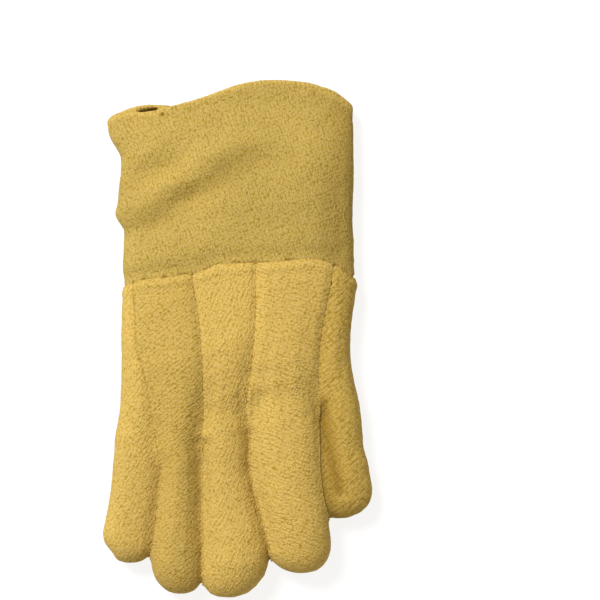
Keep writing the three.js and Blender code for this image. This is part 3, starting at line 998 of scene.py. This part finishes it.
def map_range(tree, place, source, low, high, to_low, to_high):
    """An output between low and high, brought to a new range and kept inside it."""
    node = add_node(tree, "ShaderNodeMapRange", place)
    node.clamp = True
    names = ("From Min", "From Max", "To Min", "To Max")
    for name, value in zip(names, (low, high, to_low, to_high)):
        node.inputs[name].default_value = value
    tree.links.new(source, node.inputs["Value"])
    return node.outputs["Result"]


def combine(tree, place, operation, first, second, clamp=False):
    """The sum, difference or product of two outputs."""
    node = add_node(tree, "ShaderNodeMath", place, operation=operation, use_clamp=clamp)
    tree.links.new(first, node.inputs[0])
    tree.links.new(second, node.inputs[1])
    return node.outputs["Value"]


def noise_texture(tree, row, place, scale, detail):
    """Soft noise over the cloth."""
    node = add_node(tree, "ShaderNodeTexNoise", (-1400, row), Scale=scale, Detail=detail)
    tree.links.new(place, node.inputs["Vector"])
    return node.outputs["Fac"]


# %% One flat sheet of loops
LOOP_MM = {"thumb": (2.7, 1.8)}
USUAL_LOOP_MM = (2.2, 1.35)
LOOP_CHANCE = 0.75
WALE_DEPTH = 0.22
WALE = {"Scale": 0.165, "Distortion": 2.5, "Detail": 1, "Detail Scale": 2.5}


def loop_sheet(tree, place, first, second, turn_deg, loop_mm):
    """How far down it is from the tops of the loops, on one flat sheet."""
    left, up = place
    flat = add_node(tree, "ShaderNodeCombineXYZ", place)
    tree.links.new(first, flat.inputs["X"])
    tree.links.new(second, flat.inputs["Y"])
    turned = add_node(tree, "ShaderNodeMapping", (left + 200, up), vector_type="TEXTURE")
    turned.inputs["Rotation"].default_value = (0, 0, math.radians(turn_deg))
    turned.inputs["Scale"].default_value = (loop_mm[0] * MM, loop_mm[1] * MM, 1)
    cells = add_node(tree, "ShaderNodeTexVoronoi", (left + 400, up), voronoi_dimensions="2D")
    cells.inputs["Scale"].default_value = 1
    cells.inputs["Randomness"].default_value = LOOP_CHANCE
    wales = add_node(tree, "ShaderNodeTexWave", (left + 400, up - 150), bands_direction="Y")
    for name, value in WALE.items():
        wales.inputs[name].default_value = value
    tree.links.new(flat.outputs["Vector"], turned.inputs["Vector"])
    tree.links.new(turned.outputs["Vector"], cells.inputs["Vector"])
    tree.links.new(turned.outputs["Vector"], wales.inputs["Vector"])
    furrow = map_range(
        tree, (left + 550, up - 150), wales.outputs["Fac"], 0, 1, WALE_DEPTH, 0
    )
    return combine(tree, (left + 600, up), "ADD", cells.outputs["Distance"], furrow)


# %% [markdown]
# ## Loops all round
#
# The cells lie on three flat sheets, one for each direction that cloth can face, and the
# numbers kept in `facing` blend them, so the loops keep their size round every finger. A
# slow sway bends the rows.

# %% Loops all round
SWAY_SCALE = 70.0
SWAY = 0.004


def swayed_axes(tree, place):
    """The x, y and z of each place on the cloth, bent by the sway."""
    sway = add_node(tree, "ShaderNodeTexNoise", (-2200, -200), Scale=SWAY_SCALE, Detail=1.0)
    tree.links.new(place, sway.inputs["Vector"])
    shift = add_node(tree, "ShaderNodeVectorMath", (-2000, -200), operation="SCALE")
    shift.inputs["Scale"].default_value = SWAY
    tree.links.new(sway.outputs["Color"], shift.inputs[0])
    swayed = add_node(tree, "ShaderNodeVectorMath", (-1800, 0), operation="ADD")
    tree.links.new(place, swayed.inputs[0])
    tree.links.new(shift.outputs["Vector"], swayed.inputs[1])
    axes = add_node(tree, "ShaderNodeSeparateXYZ", (-1600, 0))
    tree.links.new(swayed.outputs["Vector"], axes.inputs["Vector"])
    return [axes.outputs[axis] for axis in "XYZ"]


def loop_depth(tree, place, turn_deg, loop_mm):
    """How far down it is from the tops of the loops, whichever way the cloth faces."""
    x, y, z = swayed_axes(tree, place)
    facing = add_node(tree, "ShaderNodeAttribute", (-1600, -500), attribute_name="facing")
    shares = add_node(tree, "ShaderNodeSeparateXYZ", (-1400, -500))
    tree.links.new(facing.outputs["Vector"], shares.inputs["Vector"])
    for number, (first, second, axis) in enumerate(((z, y, "X"), (x, z, "Y"), (x, y, "Z"))):
        up = 400 - 300 * number
        sheet = loop_sheet(tree, (-1400, up), first, second, turn_deg, loop_mm)
        part = combine(tree, (-750, up), "MULTIPLY", sheet, shares.outputs[axis])
        blended = combine(tree, (-600, up), "ADD", blended, part) if number else part
    return blended


# %% [markdown]
# ## Height, colour and bump
#
# Loose fibres blur the loops, so a fine noise is added to their height before it becomes
# colour and bump, and here and there a loop is pulled tight and leaves a deeper pit. The
# colour paints light and shade at the scale of the loops: the tops are painted pale, a
# painted highlight where their fibres catch the light, and the pits a deeper yellow, as
# painted shade.
# Patches of cloth are washed flatter than others, and slow stains keep the yellow from being
# one flat tone. Cotton has no shine, only a soft sheen from its fibres.

# %% Height of the pile
LOOP_RANGE = (0.12, 0.85, 0.62, 0)
FIBRE_RANGE = (0.3, 0.7, 0, 0.38)
PIT_RANGE = (0.3, 0.42, 0.2, 0)
# from low, from high, to low, to high
FIBRES = (1000.0, 4.0)
TIGHT_LOOPS = (430.0, 1.0)
# scale and detail of the noise


def pile_height(tree, place, turn_deg, loop_mm):
    """0 in a pit between the loops, and up to 1 on their tops."""
    depth = loop_depth(tree, place, turn_deg, loop_mm)
    loop = map_range(tree, (-900, 500), depth, *LOOP_RANGE)
    fibres = noise_texture(tree, -1000, place, *FIBRES)
    fuzzy = map_range(tree, (-900, -1000), fibres, *FIBRE_RANGE)
    tight = noise_texture(tree, -1400, place, *TIGHT_LOOPS)
    sunk = map_range(tree, (-900, -1400), tight, *PIT_RANGE)
    summed = combine(tree, (-400, 400), "ADD", loop, fuzzy)
    return combine(tree, (-300, 500), "SUBTRACT", summed, sunk, clamp=True)


# %% Colour of the pile
# a painted highlight on the loop tops, the cloth's own yellow, painted shade in the pits, and the
# brown of the painted shade in seams and folds
TIP_PAINTED_HIGHLIGHT = (0.585, 0.416, 0.152, 1)
BODY = (0.475, 0.322, 0.074, 1)
PIT_PAINTED_SHADE = (0.32, 0.195, 0.02, 1)
PAINTED_SHADE_BROWN = (0.2, 0.105, 0.005, 1)
TIP_AT = 0.95
BODY_AT = 0.38
MIX_SHARE, MIX_FIRST, MIX_SECOND, MIX_RESULT = 0, 6, 7, 2
# the sockets that mix colours, which share their names with those that mix numbers
STAINS = (24.0, 3.0)
STAIN_RANGE = (0.3, 0.7, 0.94, 1.05)


def pile_colour(tree, place, height, tint):
    """The colour at each height, from painted shade in the pits to a painted highlight on the
    loop tops, with painted shade mixed in at seams and folds, and tinted for the panel.
    """
    ramp = add_node(tree, "ShaderNodeValToRGB", (-200, 300))
    ramp.color_ramp.elements[0].position = 0.0
    ramp.color_ramp.elements[0].color = PIT_PAINTED_SHADE
    ramp.color_ramp.elements[1].position = TIP_AT
    ramp.color_ramp.elements[1].color = TIP_PAINTED_HIGHLIGHT
    ramp.color_ramp.elements.new(BODY_AT).color = BODY
    tree.links.new(height, ramp.inputs["Fac"])
    # the painted shade kept on each point
    painted_shade = add_node(tree, "ShaderNodeAttribute", (-400, -100), attribute_name="painted_shade")
    with_painted_shade = add_node(tree, "ShaderNodeMix", (50, 300), data_type="RGBA")
    with_painted_shade.inputs[MIX_SECOND].default_value = PAINTED_SHADE_BROWN
    tree.links.new(painted_shade.outputs["Fac"], with_painted_shade.inputs[MIX_SHARE])
    tree.links.new(ramp.outputs["Color"], with_painted_shade.inputs[MIX_FIRST])
    stains = noise_texture(tree, -1200, place, *STAINS)
    scaled = add_node(tree, "ShaderNodeVectorMath", (150, 200), operation="SCALE")
    tree.links.new(with_painted_shade.outputs[MIX_RESULT], scaled.inputs[0])
    tree.links.new(map_range(tree, (-1100, -1200), stains, *STAIN_RANGE), scaled.inputs["Scale"])
    tinted = add_node(tree, "ShaderNodeVectorMath", (250, 200), operation="MULTIPLY")
    tinted.inputs[1].default_value = tint
    tree.links.new(scaled.outputs["Vector"], tinted.inputs[0])
    return tinted.outputs["Vector"]


# %% The whole material
COTTON = {
    "Roughness": 0.95,
    "Specular IOR Level": 0.06,
    "Sheen Weight": 0.06,
    "Sheen Roughness": 0.6,
    "Sheen Tint": (1, 0.85, 0.5, 1),
}
PATCHES = (45.0, 2.0)
PATCH_RANGE = (0.35, 0.65, 0.6, 1.0)
BUMP_DISTANCE = 0.0005


def terry(name, turn_deg, loop_mm, tint):
    """One terry material, with its loops turned, sized and tinted for a panel."""
    material = bpy.data.materials.new(name)
    material.use_nodes = True
    tree = material.node_tree
    shader = tree.nodes["Principled BSDF"]
    for socket, value in COTTON.items():
        shader.inputs[socket].default_value = value
    place = add_node(tree, "ShaderNodeTexCoord", (-2400, 0)).outputs["Object"]
    height = pile_height(tree, place, turn_deg, loop_mm)
    tree.links.new(pile_colour(tree, place, height, tint), shader.inputs["Base Color"])
    patches = noise_texture(tree, -800, place, *PATCHES)
    raised = map_range(tree, (-1100, -800), patches, *PATCH_RANGE)
    bump = add_node(tree, "ShaderNodeBump", (-100, -400), Strength=1.0, Distance=BUMP_DISTANCE)
    tree.links.new(combine(tree, (-300, -300), "MULTIPLY", height, raised), bump.inputs["Height"])
    tree.links.new(bump.outputs["Normal"], shader.inputs["Normal"])
    return material


# %% [markdown]
# ## A finish for each panel
#
# All panels are one cloth. The cuff and its hem are tinted greyer and darker, the ring
# finger's strip and the thumb are painted a little deeper as painted shade, and the thumb's
# loops are larger. Each panel's loops run in a direction of their own, as the knit was
# turned when it was cut.

# %% Eight finishes
# the cuff and hem are tinted greyer and darker; the deeper tints of the ring strip and the thumb
# are painted shade
TINTS_AND_PAINTED_SHADE = {
    "cuff_hem": (0.87, 0.88, 0.86),
    "cuff": (0.81, 0.835, 0.825),
    "back_ring": (0.9, 0.9, 0.87),
    "thumb": (0.88, 0.87, 0.77),
}
finishes = {
    node_name: terry(
        row[0] + "_terry",
        row[3],
        LOOP_MM.get(node_name, USUAL_LOOP_MM),
        TINTS_AND_PAINTED_SHADE.get(node_name, (1.0, 1.0, 1.0)),
    )
    for node_name, row in PANELS.items()
}
print("finishes:", [material.name for material in finishes.values()])

# %% [markdown]
# ## Ride and replace
#
# Cloth has no joints, so every panel rides on the one body, and each stands for its solid.

for node_name, piece in pieces.items():
    piece.data.materials.append(finishes[node_name])
    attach(piece, "root")
    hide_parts(node_name)
print("declared", len(pieces), "sheets of cloth")
